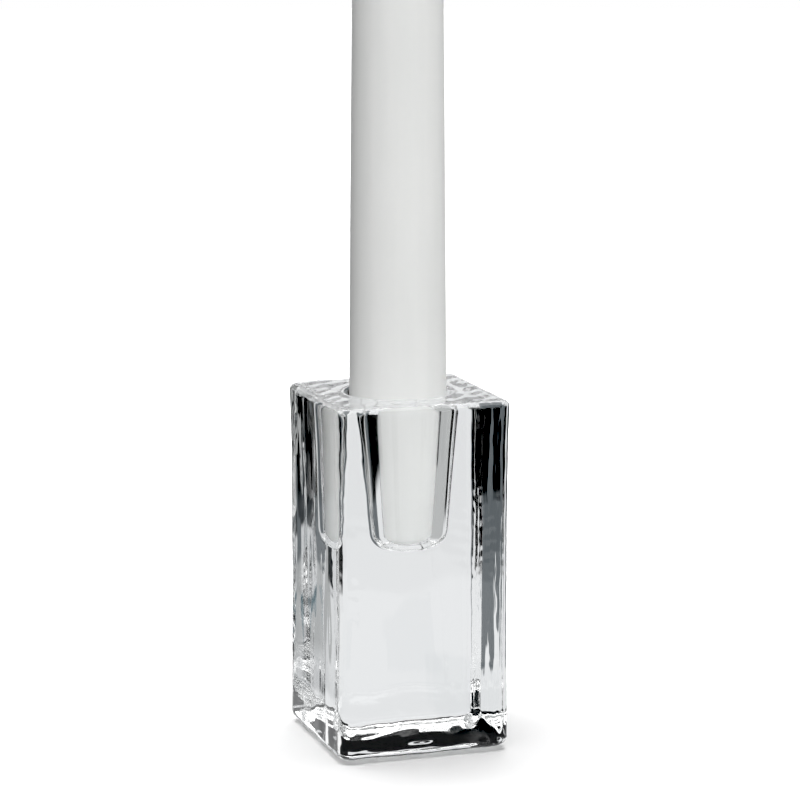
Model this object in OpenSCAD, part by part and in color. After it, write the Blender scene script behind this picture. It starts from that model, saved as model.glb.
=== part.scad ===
// Block candlestick of clear pressed glass, holding a taper candle.
// The block is one solid of glass with a tapered socket pressed into its top.
// The candle's foot is tapered to fit the socket, and a wick runs through its whole length.
// Frame: +Z is up, the origin is the middle of the base, and the four faces stand square to X and Y.

/* [Block] */
// Width across two opposite faces, at the waist
block_w = 40; // [38:0.5:60]
// Height from the base to the top face
block_h = 80.5; // [70:1:110]
// How far the lip stands out past the waist on each side
lip_flare = 0.4; // [0:0.1:1]
// How far the foot stands out past the waist on each side
foot_flare = 0.2; // [0:0.1:1]
// Radius of the four upright edges
upright_r = 2.9; // [1:0.1:4]
// Radius of the edges round the top face
top_r = 1.5; // [0.8:0.1:3]
// Radius of the edges round the base
base_r = 2.8; // [1:0.1:4]

/* [Socket] */
// Width of the socket at the top face, before its lip is rounded
mouth_d = 24; // [23.8:0.1:24.8]
// How much narrower the socket gets for each millimetre of depth
taper = 0.186; // [0.17:0.002:0.22]
// Depth of the socket
socket_depth = 35; // [30:0.5:40]
// Radius of the corner between the socket's wall and its floor
floor_r = 4.2; // [2:0.1:5]
// Radius of the lip between the socket's wall and the top face
lip_r = 0.8; // [0.4:0.1:1.5]

/* [Candle] */
// Width of the candle where it leaves the socket
candle_d = 22; // [21.8:0.1:22.4]
// Length of the wax from its foot to its tip
candle_length = 250; // [180:5:300]
// Width of the wax at the top, below the rounded tip
tip_d = 16.2; // [12:0.1:20]
// Length of the rounded tip
tip_length = 13; // [8:1:20]
// Gap between the foot of the candle and the socket, on each side and below
seat_gap = 0.3; // [0.2:0.05:0.5]
// Width of the wick
wick_d = 2; // [1.4:0.1:2.6]
// Length of wick that stands out of the wax
wick_out = 10; // [5:0.5:15]

/* [Hidden] */
$fn = 96;

over = 1;         // how far a cutter runs past the face that it cuts
arc_steps = 6;    // straight pieces in a quarter round
side_steps = 10;  // rings up the side of the block
curve_steps = 24; // pieces in the long curve of the candle

waist_h = block_h - base_r - top_r;
wall_lean = atan(taper / 2);
socket_floor_z = block_h - socket_depth;
floor_arc_z = socket_floor_z + floor_r;
lip_arc_z = block_h - lip_r;
foot_z = socket_floor_z + seat_gap;
// Height at which the candle's tapered foot reaches its full width
full_width_z = block_h - (mouth_d - candle_d) / taper + 2 * seat_gap / taper / cos(wall_lean);
shoulder_z = foot_z + candle_length - tip_length;

// Half the block's width at height z: a waist that opens out towards the lip and the foot.
function block_half(z) =
    let (t = (z - base_r) / waist_h)
    block_w / 2 + lip_flare * pow(t, 8) + foot_flare * pow(1 - t, 3);

// Radius of the socket's wall at height z.
function socket_radius(z) = mouth_d / 2 - (block_h - z) * taper / 2;

// Radius of the candle above the block, at height z: it narrows slowly, then faster.
function wax_radius(z) =
    let (t = (z - block_h) / (shoulder_z - block_h))
    candle_d / 2 - (candle_d - tip_d) / 2 * (0.46 * t + 0.54 * t * t);

// Points of an arc round centre c, from angle a0 to angle a1.
function arc(c, r, a0, a1) =
    [for (i = [0:arc_steps]) let (a = a0 + (a1 - a0) * i / arc_steps) c + r * [cos(a), sin(a)]];

// Outline of one side of the block, from the base up to the top face, as [half width, height] points.
function block_side() = concat(
    arc([block_half(base_r) - base_r, base_r], base_r, -90, 0),
    [for (i = [1:side_steps - 1]) let (z = base_r + waist_h * i / side_steps) [block_half(z), z]],
    arc([block_half(block_h - top_r) - top_r, block_h - top_r], top_r, 0, 90)
);

// Plan of the block at one point of its side: a square with rounded corners.
function ring(side) =
    let (c = side[0] - upright_r)
    [for (turn = [0:90:270]) let (middle = c * sqrt(2) * [cos(turn + 45), sin(turn + 45)])
        each [for (p = arc(middle, upright_r, turn, turn + 90)) [p[0], p[1], side[1]]]];

// A solid through a stack of rings that all have the same number of points.
module loft(rings) {
    n = len(rings[0]);
    top = len(rings) - 1;
    walls = [for (k = [0:top - 1], i = [0:n - 1]) let (j = (i + 1) % n)
        [k * n + i, (k + 1) * n + i, (k + 1) * n + j, k * n + j]];
    floor_face = [for (i = [0:n - 1]) i];
    top_face = [for (i = [n - 1:-1:0]) top * n + i];
    polyhedron(points = [for (r = rings) each r], faces = concat([floor_face], walls, [top_face]));
}

// The hollow of the socket, with its rounded floor and its rolled lip.
module socket() {
    floor_arc = [socket_radius(floor_arc_z) - floor_r / cos(wall_lean), floor_arc_z];
    lip_arc = [socket_radius(lip_arc_z) + lip_r / cos(wall_lean), lip_arc_z];
    rotate_extrude()
        polygon(concat(
            [[0, socket_floor_z]],
            arc(floor_arc, floor_r, -90, -wall_lean),
            arc(lip_arc, lip_r, 180 - wall_lean, 90),
            [[lip_arc[0], block_h + over], [0, block_h + over]]
        ));
}

module glass_block() {
    color([0.86, 0.92, 0.92, 0.35])
        difference() {
            loft([for (side = block_side()) ring(side)]);
            socket();
        }
}

module candle_wax() {
    foot_arc_r = floor_r - seat_gap;
    foot_arc = [socket_radius(floor_arc_z) - floor_r / cos(wall_lean), floor_arc_z];
    color("white")
        difference() {
            rotate_extrude()
                polygon(concat(
                    [[0, foot_z]],
                    arc(foot_arc, foot_arc_r, -90, -wall_lean),
                    [[candle_d / 2, full_width_z]],
                    [for (i = [0:curve_steps])
                        let (z = block_h + (shoulder_z - block_h) * i / curve_steps) [wax_radius(z), z]],
                    [for (i = [1:arc_steps]) let (a = 90 * i / arc_steps)
                        [max(wick_d, tip_d * pow(cos(a), 0.8)) / 2, shoulder_z + tip_length * sin(a)]],
                    [[0, shoulder_z + tip_length]]
                ));
            translate([0, 0, foot_z - over])
                cylinder(d = wick_d, h = candle_length + 2 * over);
        }
}

module candle_wick() {
    color("ivory")
        translate([0, 0, foot_z])
            cylinder(d = wick_d, h = candle_length + wick_out);
}

glass_block();
candle_wax();
candle_wick();
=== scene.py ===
"""Looks for the block candlestick: clear pressed glass, a white taper candle and its wick.

Everything is in metres in the CAD frame: +Z up, the origin in the middle of the base, -Y the front.
Azimuths run clockwise seen from above: 0 is straight behind (+Y) and 90 is the right (+X).
"""

import math

import bmesh
import bpy
import numpy as np
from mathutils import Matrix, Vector

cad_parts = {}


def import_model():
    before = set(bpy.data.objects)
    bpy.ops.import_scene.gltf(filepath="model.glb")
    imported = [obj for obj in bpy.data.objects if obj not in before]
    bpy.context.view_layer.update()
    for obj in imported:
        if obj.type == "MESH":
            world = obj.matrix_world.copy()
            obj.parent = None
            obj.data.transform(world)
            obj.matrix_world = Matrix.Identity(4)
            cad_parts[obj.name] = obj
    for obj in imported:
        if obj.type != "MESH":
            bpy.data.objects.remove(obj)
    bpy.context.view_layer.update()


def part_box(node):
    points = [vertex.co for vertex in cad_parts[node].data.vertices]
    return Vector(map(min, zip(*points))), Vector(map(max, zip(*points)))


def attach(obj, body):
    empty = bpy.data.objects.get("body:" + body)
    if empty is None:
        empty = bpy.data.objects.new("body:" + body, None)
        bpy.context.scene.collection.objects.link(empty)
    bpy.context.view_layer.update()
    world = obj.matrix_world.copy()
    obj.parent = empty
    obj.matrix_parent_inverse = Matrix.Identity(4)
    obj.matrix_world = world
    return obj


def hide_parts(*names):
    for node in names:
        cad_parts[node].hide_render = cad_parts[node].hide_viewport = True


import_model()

MM = 0.001

# The block: its box from CAD, and the edge sizes and flares that the CAD source uses.
BLOCK_LOW, BLOCK_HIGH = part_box("glass_block")
WAX_LOW, WAX_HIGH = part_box("candle_wax")
WICK_LOW, WICK_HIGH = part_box("candle_wick")
BLOCK_H = BLOCK_HIGH.z
LIP_FLARE, LIP_POWER = 0.4 * MM, 8
FOOT_FLARE, FOOT_POWER = 0.2 * MM, 3
WAIST_HALF = BLOCK_HIGH.x - LIP_FLARE
UPRIGHT_R = 2.9 * MM
TOP_R = 1.5 * MM
BASE_R = 2.8 * MM

# The socket: its radius at the top face, its depth, how fast it narrows, and its rounded edges.
MOUTH_R = 12 * MM
SOCKET_DEPTH = 35 * MM
LEAN = 0.093
LEAN_ANGLE = math.atan(LEAN)
LIP_R = 0.8 * MM
FLOOR_R = 4.2 * MM
SOCKET_FLOOR = BLOCK_H - SOCKET_DEPTH


# ---------------------------------------------------------------- meshes


def mesh_object(name, points, faces, body):
    """A smooth mesh piece that rides on a CAD body."""
    mesh = bpy.data.meshes.new(name)
    mesh.from_pydata([tuple(p) for p in points], [], faces)
    mesh.validate()
    mesh.shade_smooth()
    piece = bpy.data.objects.new(name, mesh)
    bpy.context.scene.collection.objects.link(piece)
    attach(piece, body)
    return piece


def skin(rings):
    """Points and faces of a closed surface through rings of the same count.

    The first and last rings are single points.
    """
    count = len(rings[1])
    points = [rings[0][0]] + [p for ring in rings[1:-1] for p in ring] + [rings[-1][0]]
    last = len(points) - 1
    faces = []
    for i in range(count):
        faces.append((0, 1 + (i + 1) % count, 1 + i))
    for k in range(len(rings) - 3):
        low, high = 1 + k * count, 1 + (k + 1) * count
        for i in range(count):
            j = (i + 1) % count
            faces.append((low + i, low + j, high + j, high + i))
    top = 1 + (len(rings) - 3) * count
    for i in range(count):
        faces.append((last, top + i, top + (i + 1) % count))
    return points, faces


def arc(centre, radius, start, end, steps):
    """Points of an arc in the (radius, height) plane; angles in degrees."""
    turns = np.radians(np.linspace(start, end, steps + 1))
    return [(centre[0] + radius * math.cos(a), centre[1] + radius * math.sin(a)) for a in turns]


def circle_ring(radius, count):
    """Points round a circle in plan, starting on the +X side."""
    turns = np.arange(count) * 2 * math.pi / count
    return radius * np.column_stack([np.cos(turns), np.sin(turns)])


def at_height(plan, z):
    """A ring in plan, lifted to one height."""
    return np.column_stack([plan, np.full(len(plan), z)])


def axis_point(z):
    return np.array([[0, 0, z]])


# ---------------------------------------------------------------- block

# Points along each rounded upright and each flat side, and so round a whole ring.
CORNER_STEPS = 16
SIDE_STEPS = 84
RING_POINTS = 4 * (CORNER_STEPS + SIDE_STEPS)

# How finely each stretch is cut into rings, from the middle of the base to the socket's floor.
BASE_RINGS, BASE_EDGE_STEPS = 40, 18
WAIST_RINGS, TOP_EDGE_STEPS = 120, 14
TOP_RINGS, LIP_STEPS = 30, 10
WALL_RINGS, FLOOR_EDGE_STEPS, FLOOR_RINGS = 60, 16, 8


def block_half(z):
    """Half the block's width at a height, with its flared lip and foot."""
    t = (z - BASE_R) / (BLOCK_H - BASE_R - TOP_R)
    return WAIST_HALF + LIP_FLARE * t**LIP_POWER + FOOT_FLARE * max(0.0, 1 - t) ** FOOT_POWER


def square_ring(half, radius=UPRIGHT_R):
    """Points round a square with rounded corners, starting in the middle of the +X side."""
    flat = half - radius
    quarter = [(half, y) for y in np.linspace(0, flat, SIDE_STEPS // 2 + 1)[:-1]]
    quarter += arc((flat, flat), radius, 0, 90, CORNER_STEPS)[:-1]
    quarter += [(x, half) for x in np.linspace(flat, 0, SIDE_STEPS // 2 + 1)[:-1]]
    x, y = np.array(quarter).T
    turns = []
    for q in range(4):
        c, s = round(math.cos(q * math.pi / 2)), round(math.sin(q * math.pi / 2))
        turns.append(np.column_stack([c * x - s * y, s * x + c * y]))
    return np.vstack(turns)


def socket_radius(z):
    return MOUTH_R - (BLOCK_H - z) * LEAN


def socket_corner():
    """The middle of the rounded corner at the socket's floor, as (radius, height)."""
    z = SOCKET_FLOOR + FLOOR_R
    return socket_radius(z) - FLOOR_R / math.cos(LEAN_ANGLE), z


def base_rings():
    """Out from the middle of the base, from round to square, and round its edge."""
    edge = block_half(BASE_R) - BASE_R
    rings = [axis_point(0)]
    for t in np.linspace(0, 1, BASE_RINGS)[1:-1]:
        circle, square = circle_ring(edge * t, RING_POINTS), square_ring(edge * t, UPRIGHT_R * t)
        rings.append(at_height((1 - t) * circle + t * square, 0))
    for half, z in arc((edge, BASE_R), BASE_R, -90, 0, BASE_EDGE_STEPS):
        rings.append(at_height(square_ring(half), z))
    return rings


def side_rings():
    """Up the sides and round the top edge."""
    waist = BLOCK_H - TOP_R - BASE_R
    rings = []
    for k in range(1, WAIST_RINGS):
        z = BASE_R + waist * k / WAIST_RINGS
        rings.append(at_height(square_ring(block_half(z)), z))
    centre = (block_half(BLOCK_H - TOP_R) - TOP_R, BLOCK_H - TOP_R)
    for half, z in arc(centre, TOP_R, 0, 90, TOP_EDGE_STEPS):
        rings.append(at_height(square_ring(half), z))
    return rings


def top_rings():
    """Across the top face, from square to round, and over the socket's lip."""
    lip = (socket_radius(BLOCK_H - LIP_R) + LIP_R / math.cos(LEAN_ANGLE), BLOCK_H - LIP_R)
    outer = square_ring(block_half(BLOCK_H - TOP_R) - TOP_R)
    inner = circle_ring(lip[0], RING_POINTS)
    rings = []
    for t in np.linspace(0, 1, TOP_RINGS)[1:-1]:
        rings.append(at_height((1 - t) * outer + t * inner, BLOCK_H))
    for r, z in arc(lip, LIP_R, 90, 180 - math.degrees(LEAN_ANGLE), LIP_STEPS):
        rings.append(at_height(circle_ring(r, RING_POINTS), z))
    return rings


def socket_rings():
    """Down the socket's wall, round its corner and in to the middle of its floor."""
    corner = socket_corner()
    wall_top, wall_low = BLOCK_H - LIP_R, corner[1]
    heights = [wall_top + (wall_low - wall_top) * k / WALL_RINGS for k in range(1, WALL_RINGS)]
    profile = [(socket_radius(z), z) for z in heights]
    profile += arc(corner, FLOOR_R, -math.degrees(LEAN_ANGLE), -90, FLOOR_EDGE_STEPS)
    profile += [(corner[0] * t, SOCKET_FLOOR) for t in np.linspace(1, 0, FLOOR_RINGS)[1:-1]]
    rings = [at_height(circle_ring(r, RING_POINTS), z) for r, z in profile]
    return rings + [axis_point(SOCKET_FLOOR)]


# ---------------------------------------------------------------- the block's pressed surface

WAVES_PER_RIPPLE = 9

# How deep each ripple in the surface is.
BROAD = 0.057 * MM
STREAK = 0.005 * MM
CHATTER = 0.014 * MM
CHIP = 0.012 * MM
TOP_WAVE = 0.03 * MM
UNDER_WAVE = 0.09 * MM

# Each ripple's seed and its wave lengths along x, y and z.
BROAD_RIPPLE = (2681, (19 * MM, 19 * MM, 36 * MM))
STREAK_RIPPLE = (3418, (5 * MM, 5 * MM, 60 * MM))
CHATTER_RIPPLE = (8744, (4 * MM, 4 * MM, 7 * MM))
CHIP_RIPPLE = (8612, (2.4 * MM, 2.4 * MM, 2.4 * MM))
TOP_RIPPLE = (8399, (9 * MM, 9 * MM, 9 * MM))
UNDER_RIPPLE = (2601, (22 * MM, 22 * MM, 22 * MM))

# On the top, the base and the edges a ripple lies inwards by so many of its depths.
SINK, CHATTER_SINK = 2, 1.5

# Where each zone begins and where it is in full.
OUTSIDE = (14 * MM, 17 * MM)  # by the greater distance from the middle in plan
RIM = (WAIST_HALF - 3 * MM, WAIST_HALF - 1.5 * MM)  # by the same
UPRIGHTS = (WAIST_HALF - 2.5 * UPRIGHT_R, WAIST_HALF - UPRIGHT_R)  # by the lesser one
ABOVE_BASE = (0, 2 * MM)  # by height
TOP = (BLOCK_H - 2 * MM, BLOCK_H - 0.5 * MM)  # by height
TOP_FACE = (13.2 * MM, 15 * MM)  # by distance from the axis


def ripple(points, seed, lengths):
    """A smooth random field, about -2 to 2, with waves of roughly the given x, y and z lengths."""
    rng = np.random.default_rng(seed)
    total = np.zeros(len(points))
    for _ in range(WAVES_PER_RIPPLE):
        wave = rng.normal(size=3) / np.array(lengths)
        total += np.cos(2 * math.pi * points @ wave + rng.uniform(0, 2 * math.pi))
    return total * math.sqrt(2 / WAVES_PER_RIPPLE)


def ease(values, start, end):
    """0 at start, 1 at end, smooth between."""
    t = np.clip((values - start) / (end - start), 0, 1)
    return t * t * (3 - 2 * t)


def pressed_surface(points):
    """How far the pressed glass lies off the ideal block, along the surface's own normal."""
    x, y, z = points.T
    reach = np.maximum(abs(x), abs(y))
    uprights = ease(np.minimum(abs(x), abs(y)), *UPRIGHTS)
    under = 1 - ease(z, *ABOVE_BASE)
    top = ease(z, *TOP)
    side = ease(reach, *OUTSIDE) * (1 - under) * (1 - top)
    edges = np.maximum(top, under) * ease(reach, *RIM)
    broad, streak = ripple(points, *BROAD_RIPPLE), ripple(points, *STREAK_RIPPLE)
    chatter, chips = ripple(points, *CHATTER_RIPPLE), ripple(points, *CHIP_RIPPLE)
    lift = side * (BROAD * broad + STREAK * streak + uprights * CHATTER * chatter)
    lift += edges * (CHIP * (chips - SINK) + CHATTER * (chatter - CHATTER_SINK))
    wave = ripple(points, *TOP_RIPPLE) - SINK
    lift += top * ease(np.hypot(x, y), *TOP_FACE) * TOP_WAVE * wave
    lift += under * UNDER_WAVE * (ripple(points, *UNDER_RIPPLE) - SINK)
    return lift


def press(block):
    """Move the ideal block's points onto the pressed surface, inside the CAD node's box."""
    mesh = block.data
    points = np.empty(len(mesh.vertices) * 3)
    mesh.vertices.foreach_get("co", points)
    normals = np.empty(len(mesh.vertices) * 3)
    mesh.vertex_normals.foreach_get("vector", normals)
    points, normals = points.reshape(-1, 3), normals.reshape(-1, 3)
    points = points + normals * pressed_surface(points)[:, None]
    points = np.clip(points, np.array(BLOCK_LOW), np.array(BLOCK_HIGH))
    mesh.vertices.foreach_set("co", points.ravel())
    mesh.update()


def make_block():
    points, faces = skin(base_rings() + side_rings() + top_rings() + socket_rings())
    block = mesh_object("glass", points, faces, "holder")
    press(block)
    block.data.materials.append(glass_material())
    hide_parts("glass_block")


# ---------------------------------------------------------------- candle

SEAT_GAP = 0.3 * MM
CANDLE_R = WAX_HIGH.x
CANDLE_SIDES = 160
# The candle narrows to TIP_R below its tip: one part of that evenly, the rest faster and faster.
TIP_R = 8.1 * MM
EVEN_PART, LATE_PART = 0.46, 0.54
TIP_LENGTH = 13 * MM
TIP_POWER = 0.8
FOOT_RINGS, FOOT_EDGE_STEPS, SEAT_RINGS, TAPER_RINGS, TIP_RINGS = 6, 12, 30, 80, 16


def wax_profile():
    """(radius, height) points from the candle's foot to its tip, without the two end points."""
    corner = socket_corner()
    shoulder = WAX_HIGH.z - TIP_LENGTH
    profile = [(corner[0] * t, WAX_LOW.z) for t in np.linspace(0, 1, FOOT_RINGS)[1:-1]]
    profile += arc(corner, FLOOR_R - SEAT_GAP, -90, -math.degrees(LEAN_ANGLE), FOOT_EDGE_STEPS)
    for z in np.linspace(profile[-1][1], BLOCK_H, SEAT_RINGS)[1:]:
        profile.append((min(CANDLE_R, socket_radius(z) - SEAT_GAP / math.cos(LEAN_ANGLE)), z))
    for t in np.linspace(0, 1, TAPER_RINGS)[1:]:
        radius = CANDLE_R - (CANDLE_R - TIP_R) * (EVEN_PART * t + LATE_PART * t * t)
        profile.append((radius, BLOCK_H + (shoulder - BLOCK_H) * t))
    for a in np.radians(np.linspace(0, 90, TIP_RINGS))[1:-1]:
        profile.append((TIP_R * math.cos(a) ** TIP_POWER, shoulder + TIP_LENGTH * math.sin(a)))
    return profile


def make_candle():
    rings = [at_height(circle_ring(r, CANDLE_SIDES), z) for r, z in wax_profile()]
    points, faces = skin([axis_point(WAX_LOW.z), *rings, axis_point(WAX_HIGH.z)])
    wax = mesh_object("wax", points, faces, "candle")
    wax.data.materials.append(wax_material())
    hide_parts("candle_wax")
    return wax


# ---------------------------------------------------------------- wick

WICK_R = WICK_HIGH.x
STRANDS = 3
STRAND_R = 0.42 * MM
STRAND_SIDES = 12
STRAND_RINGS = 260
PLAIT_PITCH = 5.2 * MM
PLAIT_FLATNESS = 0.55
# Each strand's ends narrow over these lengths, down to a blunt end.
TOP_NARROWING = 0.5 * MM
FOOT_NARROWING = 0.2 * MM
BLUNT = 0.02


def plait_line(strand, z):
    """Where one of the three strands of a round plait runs at height z."""
    t = 2 * math.pi * (z / PLAIT_PITCH + strand / STRANDS)
    swing = WICK_R - STRAND_R
    return swing * math.sin(t), PLAIT_FLATNESS * swing * math.sin(2 * t)


def strand_tube(strand):
    """One strand as a closed tube along its line."""
    low, high = WICK_LOW.z, WICK_HIGH.z
    rings = []
    for z in np.linspace(low, high, STRAND_RINGS):
        end = min(1.0, (high - z) / TOP_NARROWING + BLUNT, (z - low) / FOOT_NARROWING + BLUNT)
        plan = circle_ring(STRAND_R * math.sqrt(end), STRAND_SIDES) + plait_line(strand, z)
        rings.append(at_height(plan, z))
    ends = [np.array([[*plait_line(strand, z), z]]) for z in (low, high)]
    return skin([ends[0], *rings, ends[1]])


def make_wick():
    points, faces = [], []
    for strand in range(STRANDS):
        more_points, more_faces = strand_tube(strand)
        faces += [tuple(i + len(points) for i in face) for face in more_faces]
        points += list(more_points)
    wick = mesh_object("wick", points, faces, "candle")
    wick.data.materials.append(wick_material())
    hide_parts("candle_wick")
    return wick


# ---------------------------------------------------------------- nodes


def feed(tree, value, socket):
    """Set a socket to a number or to an RGB tuple, or link a node's output to it."""
    if isinstance(value, (int, float)):
        socket.default_value = value
    elif isinstance(value, tuple):
        socket.default_value = (*value, 1)
    else:
        tree.links.new(value, socket)


class Maths:
    """Short forms for the math nodes of one node tree."""

    def __init__(self, tree):
        self.tree = tree

    def node(self, operation, *values):
        node = self.tree.nodes.new("ShaderNodeMath")
        node.operation = operation
        for socket, value in zip(node.inputs, values):
            feed(self.tree, value, socket)
        return node.outputs[0]

    def add(self, a, b):
        return self.node("ADD", a, b)

    def times(self, a, b):
        return self.node("MULTIPLY", a, b)

    def length(self, x, y):
        return self.node("SQRT", self.add(self.times(x, x), self.times(y, y)))

    def smooth(self, value, start, end):
        """0 at start, 1 at end, smooth between."""
        node = self.tree.nodes.new("ShaderNodeMapRange")
        node.interpolation_type = "SMOOTHSTEP"
        low, high = sorted((start, end))
        node.inputs["From Min"].default_value = low
        node.inputs["From Max"].default_value = high
        node.inputs["To Min"].default_value = 0 if start < end else 1
        node.inputs["To Max"].default_value = 1 if start < end else 0
        self.tree.links.new(value, node.inputs["Value"])
        return node.outputs["Result"]

    def band(self, value, low, high, soft):
        """1 between low and high, falling to 0 over soft outside."""
        rise, fall = self.smooth(value, low - soft, low), self.smooth(value, high + soft, high)
        return self.times(rise, fall)

    def turned_band(self, value, degrees, soft):
        """A band of an angle in radians, given as (low, high) and softness in degrees."""
        low, high = degrees
        return self.band(value, math.radians(low), math.radians(high), math.radians(soft))


def blend_tones(tree, value, tones):
    """Start from a tone and lay others over it, each where its mask is 1; tones are linear RGB."""
    for mask, tone in tones:
        mix = tree.nodes.new("ShaderNodeMix")
        mix.data_type = "RGBA"
        feed(tree, mask, mix.inputs["Factor"])
        feed(tree, value, mix.inputs["A"])
        feed(tree, tone, mix.inputs["B"])
        value = mix.outputs["Result"]
    return value


def noise_texture(tree, coordinates, scale, detail, stretch=(1, 1, 1)):
    mapping = tree.nodes.new("ShaderNodeMapping")
    mapping.inputs["Scale"].default_value = stretch
    tree.links.new(coordinates, mapping.inputs["Vector"])
    node = tree.nodes.new("ShaderNodeTexNoise")
    node.inputs["Scale"].default_value = scale
    node.inputs["Detail"].default_value = detail
    tree.links.new(mapping.outputs[0], node.inputs["Vector"])
    return node.outputs["Fac"]


def object_coordinates(tree):
    return tree.nodes.new("ShaderNodeTexCoord").outputs["Object"]


def position(tree):
    """The x, y and z of the point being shaded, in the scene."""
    geometry = tree.nodes.new("ShaderNodeNewGeometry")
    split = tree.nodes.new("ShaderNodeSeparateXYZ")
    tree.links.new(geometry.outputs["Position"], split.inputs[0])
    return split.outputs


def bump(tree, shader, heights, distance):
    """Add heights together as the shader's bump; heights are (value, weight) pairs."""
    maths = Maths(tree)
    total = 0.0
    for value, weight in heights:
        total = maths.add(maths.times(value, weight), total)
    node = tree.nodes.new("ShaderNodeBump")
    node.inputs["Strength"].default_value = 1
    node.inputs["Distance"].default_value = distance
    tree.links.new(total, node.inputs["Height"])
    tree.links.new(node.outputs[0], shader.inputs["Normal"])


# ---------------------------------------------------------------- materials

GLASS_CLEAR, GLASS_TINT = (0.99, 0.993, 0.993), (0.98, 0.987, 0.987)
GLASS_IOR = 1.52
GLASS_BUMP = 0.004 * MM
WAX_SHADE, WAX_PALE, WAX_SPECK = (0.765, 0.775, 0.765), (0.815, 0.82, 0.81), (0.2, 0.2, 0.2)
WAX_IOR = 1.44
WAX_DEPTH = 2 * MM
WAX_BUMP = 0.05 * MM
COTTON, COTTON_SHADE, COTTON_PALE = (0.82, 0.79, 0.71), (0.6, 0.55, 0.46), (0.86, 0.84, 0.78)
COTTON_BUMP = 0.12 * MM


def new_material(name):
    material = bpy.data.materials.new(name)
    material.use_nodes = True
    shader = material.node_tree.nodes["Principled BSDF"]
    return material, material.node_tree, shader


def glass_material():
    """Clear pressed glass: a faint tint that varies, faint striae and a few softer spots."""
    material, tree, shader = new_material("clear_glass")
    maths = Maths(tree)
    where = object_coordinates(tree)
    striae = noise_texture(tree, where, scale=170, detail=1, stretch=(1, 1, 0.12))
    cloud = noise_texture(tree, where, scale=40, detail=1)
    tint = blend_tones(tree, GLASS_CLEAR, [(maths.smooth(cloud, 0.35, 0.65), GLASS_TINT)])
    tree.links.new(tint, shader.inputs["Base Color"])
    softer = maths.times(maths.smooth(cloud, 0.6, 0.7), 0.01)
    tree.links.new(softer, shader.inputs["Roughness"])
    shader.inputs["IOR"].default_value = GLASS_IOR
    shader.inputs["Transmission Weight"].default_value = 1
    bump(tree, shader, [(striae, 1.0)], GLASS_BUMP)
    return material


def wax_specks(tree, where):
    """1 on a few small round specks."""
    maths = Maths(tree)
    dots = tree.nodes.new("ShaderNodeTexVoronoi")
    dots.inputs["Scale"].default_value = 85
    tree.links.new(where, dots.inputs["Vector"])
    few = maths.smooth(noise_texture(tree, where, scale=60, detail=0), 0.6, 0.68)
    return maths.times(maths.smooth(dots.outputs["Distance"], 0.04, 0.015), few)


def wax_material():
    """Satin white wax: faint streaks down it, a few dark specks and a slightly translucent skin."""
    material, tree, shader = new_material("white_wax")
    maths = Maths(tree)
    where = object_coordinates(tree)
    streaks = noise_texture(tree, where, scale=260, detail=2, stretch=(1, 1, 0.05))
    cloud = noise_texture(tree, where, scale=45, detail=3, stretch=(1, 1, 0.6))
    specks = wax_specks(tree, where)
    paleness = maths.add(maths.times(streaks, 0.05), maths.times(cloud, 0.04))
    tones = [(maths.smooth(paleness, 0.02, 0.07), WAX_PALE), (specks, WAX_SPECK)]
    tree.links.new(blend_tones(tree, WAX_SHADE, tones), shader.inputs["Base Color"])
    tree.links.new(maths.add(0.36, maths.times(cloud, 0.2)), shader.inputs["Roughness"])
    shader.inputs["Subsurface Weight"].default_value = 0.25
    shader.inputs["Subsurface Radius"].default_value = (1, 1, 1)
    shader.inputs["Subsurface Scale"].default_value = WAX_DEPTH
    shader.inputs["IOR"].default_value = WAX_IOR
    bump(tree, shader, [(streaks, 1.0), (cloud, 0.6), (specks, -0.5)], WAX_BUMP)
    return material


def wick_material():
    """Unburnt cotton: cream fibres that run along each strand, darker between them."""
    material, tree, shader = new_material("cotton_wick")
    maths = Maths(tree)
    where = object_coordinates(tree)
    fibres = noise_texture(tree, where, scale=5200, detail=3, stretch=(1, 1, 0.14))
    patches = noise_texture(tree, where, scale=700, detail=2)
    shade = maths.times(maths.smooth(fibres, 0.42, 0.7), 0.8)
    tones = [(shade, COTTON_SHADE), (maths.smooth(patches, 0.5, 0.75), COTTON_PALE)]
    tree.links.new(blend_tones(tree, COTTON, tones), shader.inputs["Base Color"])
    tree.links.new(maths.add(0.7, maths.times(patches, 0.25)), shader.inputs["Roughness"])
    shader.inputs["Sheen Weight"].default_value = 0.3
    bump(tree, shader, [(fibres, 1.0)], COTTON_BUMP)
    return material


# ---------------------------------------------------------------- stage

# The floor lies just under the block's base, and the tones that the glass sees lie on the floor.
FLOOR_SIZE, FLOOR_Z = 8, -0.0002
TONES_SIZE, TONES_Z = 6, -0.0001
ROOM_R = 2.5
BACKDROP_R = 3.5
BELOW_GROUND = 1e-4
WORLD_STRENGTH = 0.19
# The distances from the middle where the floor's painted glow begins, and where it is full and the
# floor pure white; this glow is painted light, brighter away from the block.
FLOOR_GLOW_RAMP = (0.03, 0.13)

# Linear tones of what the glass sees.
BLACK = (0.003, 0.003, 0.003)
SLATE = (0.15, 0.165, 0.175)
GREY = (0.5, 0.51, 0.51)
TEAL = (0.13, 0.2, 0.23)
PAPER = (0.82, 0.83, 0.84)
SIDE_GLOW = (1.1, 1.1, 1.1)
CEILING = (2.2, 2.2, 2.2)
FAR = 3

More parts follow.
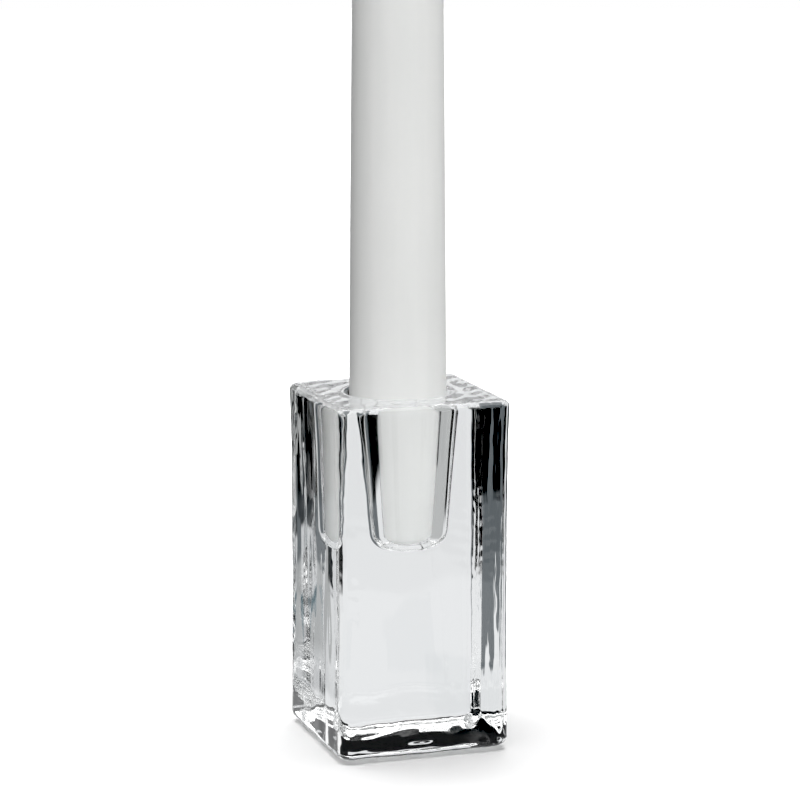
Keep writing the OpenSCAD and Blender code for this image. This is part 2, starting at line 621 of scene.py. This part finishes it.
# Floor tones that only the glass sees, as sectors round a point on the X axis: the point's x,
# (from, to) azimuth in degrees and its softness, (from, to) distance and its softness, tone.
FLOOR_TONES = [
    (0, (60, 150), 4, (0.06, FAR), 0.03, GREY),
    (0, (40, 62), 2, (0.16, FAR), 0.02, BLACK),
    (0, (62, 150), 4, (0.3, FAR), 0.03, BLACK),
    (0, (126, 150), 2, (0.17, FAR), 0.01, BLACK),
    # A grey wedge behind on the left: the block's painted shadow on the floor, seen only in the
    # glass.
    (6 * MM, (-62, -8), 1.5, (0.06, FAR), 0.009, SLATE),
    (0, (-62, -38), 1.5, (0.155, FAR), 0.012, BLACK),
    (0, (-42, -15), 1.5, (0.28, FAR), 0.03, BLACK),
    (0, (-112, -60), 1.5, (0.165, FAR), 0.02, BLACK),
    (0, (-150, -108), 1.5, (0.235, FAR), 0.02, BLACK),
    (0, (149, 163), 1, (0.045, 0.1), 0.008, TEAL),
    (0, (138, 152), 1.5, (0.15, FAR), 0.015, SLATE),
    (0, (152, 190), 1.5, (0.19, FAR), 0.015, BLACK),
    (0, (-190, -150), 1.5, (0.19, FAR), 0.015, BLACK),
]

# Tones of the room round the glass: (from, to) azimuth and elevation in degrees, softness, tone.
ROOM_TONES = [
    ((-180, 180), (-5, 13), 1, BLACK),
    ((-12, 26), (-5, 11.6), 0.5, PAPER),
    ((140, 190), (-5, 10.2), 0.5, PAPER),
    ((60, 120), (12, 50), 5, SIDE_GLOW),
    ((-180, 180), (52, 95), 5, CEILING),
]


def glow_material(name):
    """A material that only gives light; returns it, its tree and the socket for its colour."""
    material = bpy.data.materials.new(name)
    material.use_nodes = True
    tree = material.node_tree
    tree.nodes.remove(tree.nodes["Principled BSDF"])
    glow = tree.nodes.new("ShaderNodeEmission")
    tree.links.new(glow.outputs[0], tree.nodes["Material Output"].inputs[0])
    return material, tree, glow.inputs["Color"]


def stage_object(name, mesh, material, z=0):
    mesh.materials.append(material)
    obj = bpy.data.objects.new(name, mesh)
    obj.location = (0, 0, z)
    bpy.context.scene.collection.objects.link(obj)
    return obj


def plane(name, size, z, material):
    """A square that lies flat at a height."""
    mesh = bpy.data.meshes.new(name)
    h = size / 2
    mesh.from_pydata([(-h, -h, 0), (h, -h, 0), (h, h, 0), (-h, h, 0)], [], [(0, 1, 2, 3)])
    return stage_object(name, mesh, material, z)


def dome(name, radius, material):
    """The upper half of a sphere, down to the ground."""
    mesh = bpy.data.meshes.new(name)
    shell = bmesh.new()
    bmesh.ops.create_uvsphere(shell, u_segments=96, v_segments=48, radius=radius)
    below = [v for v in shell.verts if v.co.z < -BELOW_GROUND]
    bmesh.ops.delete(shell, geom=below, context="VERTS")
    shell.to_mesh(mesh)
    shell.free()
    return stage_object(name, mesh, material)


def glass_only(obj):
    """Only rays that leave the glass or a gloss see it: it isn't in the picture itself."""
    obj.visible_camera = False
    obj.visible_diffuse = False
    obj.visible_shadow = False


def floor():
    """White paper that takes the contact shadow, with a painted glow that grows away from the block
    and turns it pure white further off.
    """
    material, tree, shader = new_material("floor_white")
    maths = Maths(tree)
    x, y, _ = position(tree)
    # painted glow: the floor's own emission rises with distance from the middle, so it is lighter
    # away from the block
    white = maths.smooth(maths.length(x, y), *FLOOR_GLOW_RAMP)
    shader.inputs["Base Color"].default_value = (0.9, 0.9, 0.9, 1)
    shader.inputs["Roughness"].default_value = 0.9
    shader.inputs["Emission Color"].default_value = (1, 1, 1, 1)
    tree.links.new(white, shader.inputs["Emission Strength"])
    obj = plane("floor", FLOOR_SIZE, FLOOR_Z, material)
    obj.visible_diffuse = False
    return obj


def floor_tones():
    """What the glass sees of the floor, with a painted shadow of the block behind on the left."""
    material, tree, colour = glow_material("floor_tones")
    maths = Maths(tree)
    x, y, _ = position(tree)
    tones = []
    for centre, azimuths, turn, (near, far), soft, tone in FLOOR_TONES:
        across = maths.add(x, -centre)
        ring = maths.band(maths.length(across, y), near, far, soft)
        sector = maths.turned_band(maths.node("ARCTAN2", across, y), azimuths, turn)
        tones.append((maths.times(sector, ring), tone))
    tree.links.new(blend_tones(tree, PAPER, tones), colour)
    glass_only(plane("floor_tones", TONES_SIZE, TONES_Z, material))


def room():
    """What the glass sees above the horizon: two low white sheets, a bright side and a ceiling."""
    material, tree, colour = glow_material("room")
    maths = Maths(tree)
    x, y, z = position(tree)
    azimuth = maths.node("ARCTAN2", x, y)
    elevation = maths.node("ARCTAN2", z, maths.length(x, y))
    tones = []
    for azimuths, elevations, soft, tone in ROOM_TONES:
        across = maths.turned_band(azimuth, azimuths, soft)
        up = maths.turned_band(elevation, elevations, soft)
        tones.append((maths.times(across, up), tone))
    tree.links.new(blend_tones(tree, BLACK, tones), colour)
    glass_only(dome("room", ROOM_R, material))


def backdrop():
    """A white studio sweep that fills the picture and lights nothing."""
    material, _, colour = glow_material("backdrop_white")
    colour.default_value = (1, 1, 1, 1)
    obj = dome("backdrop", BACKDROP_R, material)
    obj.visible_diffuse = False
    obj.visible_glossy = False
    obj.visible_transmission = False
    obj.visible_shadow = False


def world():
    """Even, dim light from all round."""
    studio = bpy.data.worlds.new("studio")
    bpy.context.scene.world = studio
    studio.use_nodes = True
    background = studio.node_tree.nodes["Background"]
    background.inputs["Color"].default_value = (1, 1, 1, 1)
    background.inputs["Strength"].default_value = WORLD_STRENGTH


def make_stage():
    """Build the stage; returns the floor."""
    ground = floor()
    world()
    floor_tones()
    room()
    backdrop()
    return ground


# ---------------------------------------------------------------- lights

# Soft lamps that reach the candle through the glass: azimuth, elevation, spread (all in degrees)
# and strength.
CANDLE_LAMPS = {
    "key": (202, 18, 110, 2.3),
    "fill": (94, 15, 110, 1.45),
    "back": (28, 25, 40, 0.8),
}
TOP_LAMP_AT = Vector((-0.04, 0.2, 1.5))
TOP_LAMP_SIZE = 1.6
TOP_LAMP_POWER = 36


def lamp(data, turn):
    """Put a lamp in the scene; the glass shows the room and not the lamp itself."""
    light = bpy.data.objects.new(data.name, data)
    light.rotation_euler = turn.to_euler()
    light.visible_glossy = False
    light.visible_transmission = False
    bpy.context.scene.collection.objects.link(light)
    return light


def sun(name, azimuth, elevation, spread, strength):
    """A very soft lamp that shines from a compass side."""
    data = bpy.data.lights.new(name, "SUN")
    data.angle = math.radians(spread)
    data.energy = strength
    data.cycles.use_multiple_importance_sampling = False
    a, e = math.radians(azimuth), math.radians(elevation)
    towards = Vector((math.sin(a) * math.cos(e), math.cos(a) * math.cos(e), math.sin(e)))
    return lamp(data, towards.to_track_quat("Z", "Y"))


def top_lamp():
    """A square lamp overhead that points at the middle of the base."""
    data = bpy.data.lights.new("top", "AREA")
    data.size = TOP_LAMP_SIZE
    data.energy = TOP_LAMP_POWER
    light = lamp(data, (-TOP_LAMP_AT).to_track_quat("-Z", "Y"))
    light.location = TOP_LAMP_AT
    return light


def linked(name, objects):
    """A collection for light linking."""
    collection = bpy.data.collections.new(name)
    for obj in objects:
        collection.objects.link(obj)
    return collection


def make_lights(ground, candle):
    """One overhead lamp for the floor, and the candle's own lamps, which the glass doesn't stop."""
    top_lamp().light_linking.receiver_collection = linked("floor_lit", [ground])
    for name, values in CANDLE_LAMPS.items():
        linking = sun(name, *values).light_linking
        linking.receiver_collection = linked(name + "_lit", candle)
        linking.blocker_collection = linked(name + "_blocks", candle)


# ---------------------------------------------------------------- camera

CAMERA_AZIMUTH = math.radians(-18.23)  # from the front; minus is to the left
CAMERA_ELEVATION = math.radians(10.289)
CAMERA_DISTANCE = 0.6678
CAMERA_LENS = 132.7
SENSOR_WIDTH = 36
AIM_HEIGHT = BLOCK_H - 2.23 * MM
AIM_RIGHT = 0.49 * MM


def make_camera():
    a, e = CAMERA_AZIMUTH, CAMERA_ELEVATION
    back = Vector((math.sin(a) * math.cos(e), -math.cos(a) * math.cos(e), math.sin(e)))
    right = Vector((math.cos(a), math.sin(a), 0))
    data = bpy.data.cameras.new("camera")
    data.lens = CAMERA_LENS
    data.sensor_width = SENSOR_WIDTH
    camera = bpy.data.objects.new("camera", data)
    camera.location = Vector((0, 0, AIM_HEIGHT)) + right * AIM_RIGHT + back * CAMERA_DISTANCE
    camera.rotation_euler = (-back).to_track_quat("-Z", "Y").to_euler()
    bpy.context.scene.collection.objects.link(camera)
    bpy.context.scene.camera = camera


# ---------------------------------------------------------------- picture

BLACK_LEVEL = 0.03
LIGHT_BOUNCES = 32
GLOSSY_BOUNCES = 16


def set_picture():
    """Plain colours with a slightly deeper black, and enough bounces for light inside the glass."""
    scene = bpy.context.scene
    scene.view_settings.view_transform = "Standard"
    scene.view_settings.use_curve_mapping = True
    scene.view_settings.curve_mapping.black_level = (BLACK_LEVEL,) * 3
    scene.cycles.max_bounces = LIGHT_BOUNCES
    scene.cycles.transmission_bounces = LIGHT_BOUNCES
    scene.cycles.glossy_bounces = GLOSSY_BOUNCES


set_picture()
make_camera()
make_block()
make_lights(make_stage(), [make_candle(), make_wick()])
